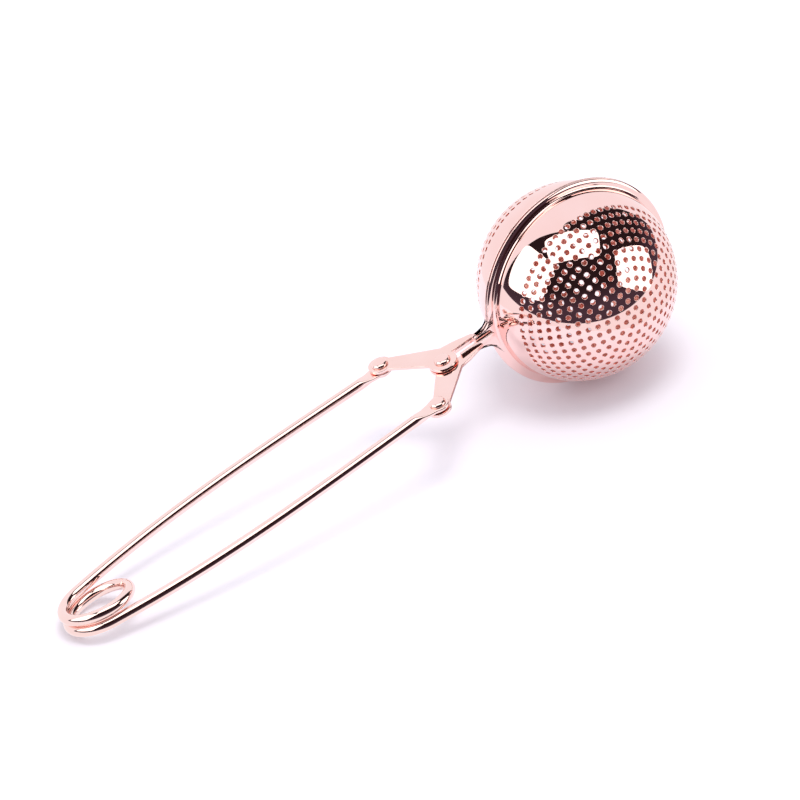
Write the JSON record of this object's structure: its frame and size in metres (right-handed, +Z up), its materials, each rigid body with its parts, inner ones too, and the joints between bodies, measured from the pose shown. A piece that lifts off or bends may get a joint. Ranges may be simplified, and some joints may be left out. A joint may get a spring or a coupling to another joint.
{
  "type": "tea infuser",
  "caption": "Squeeze-handle tea infuser: a perforated steel ball in two hinged halves on a sprung wire handle with a hanging coil, opened by pressing the handle's legs together.",
  "frame": {"origin": "on the surface that the infuser stands on, under the middle of its bounding box", "axes": "+X runs along the handle from its coil to the ball, +Y to the handle's far side, which is the side of the upper lever plate, +Z up. The handle slopes 9.62 degrees up towards the ball, because the ball's rim and the coil both touch the surface."},
  "size_m": [0.1795, 0.049, 0.0532],
  "materials": {
    "wire": "polished rose-gold plated spring steel",
    "polished_steel": "polished rose-gold plated stamped steel",
    "rivets": "polished rose-gold plated steel",
    "cups": "mirror-polished rose-gold plated sheet steel"
  },
  "bodies": {
    "coil": {"handle_coil": "wire"},
    "far_leg": {"far_leg": "wire"},
    "near_leg": {"near_leg": "wire"},
    "far_half": {"far_lever": "polished_steel", "far_rivet": "rivets", "pivot_rivet": "rivets", "far_cup": "cups"},
    "near_half": {"near_lever": "polished_steel", "near_rivet": "rivets", "near_cup": "cups"}
  },
  "joints": [
    {"name": "far_leg_squeeze", "type": "hinge", "parent": "coil", "child": "far_leg", "pos_m": [-0.08004, 0, 0.00498], "axis": [0.1671, 0, -0.9859], "range_deg": [0, 3.88], "stiffness_Nm_per_rad": 0.85, "springref_deg": -0.76},
    {"name": "near_leg_squeeze", "type": "hinge", "parent": "coil", "child": "near_leg", "pos_m": [-0.08004, 0, 0.00498], "axis": [-0.1671, 0, 0.9859], "range_deg": [0, 3.89], "stiffness_Nm_per_rad": 0.85, "springref_deg": -0.76},
    {"name": "far_cup_swing", "type": "hinge", "parent": "far_leg", "child": "far_half", "pos_m": [0.01244, 0.0128, 0.02066], "axis": [-0.1671, 0, 0.9859], "range_deg": [0, 32.7], "stiffness_Nm_per_rad": 0.27, "springref_deg": 0.63},
    {"name": "near_cup_swing", "type": "hinge", "parent": "near_leg", "child": "near_half", "pos_m": [0.01244, -0.0128, 0.02066], "axis": [0.1671, 0, -0.9859], "range_deg": [0, 32.7], "stiffness_Nm_per_rad": 0.27, "springref_deg": 0.63}
  ],
  "couplings": [
    {"joint": "near_leg_squeeze", "follows": "far_leg_squeeze", "ratio": 1},
    {"joint": "far_cup_swing", "follows": "far_leg_squeeze", "ratio": 8.41},
    {"joint": "near_cup_swing", "follows": "far_leg_squeeze", "ratio": 8.41}
  ]
}
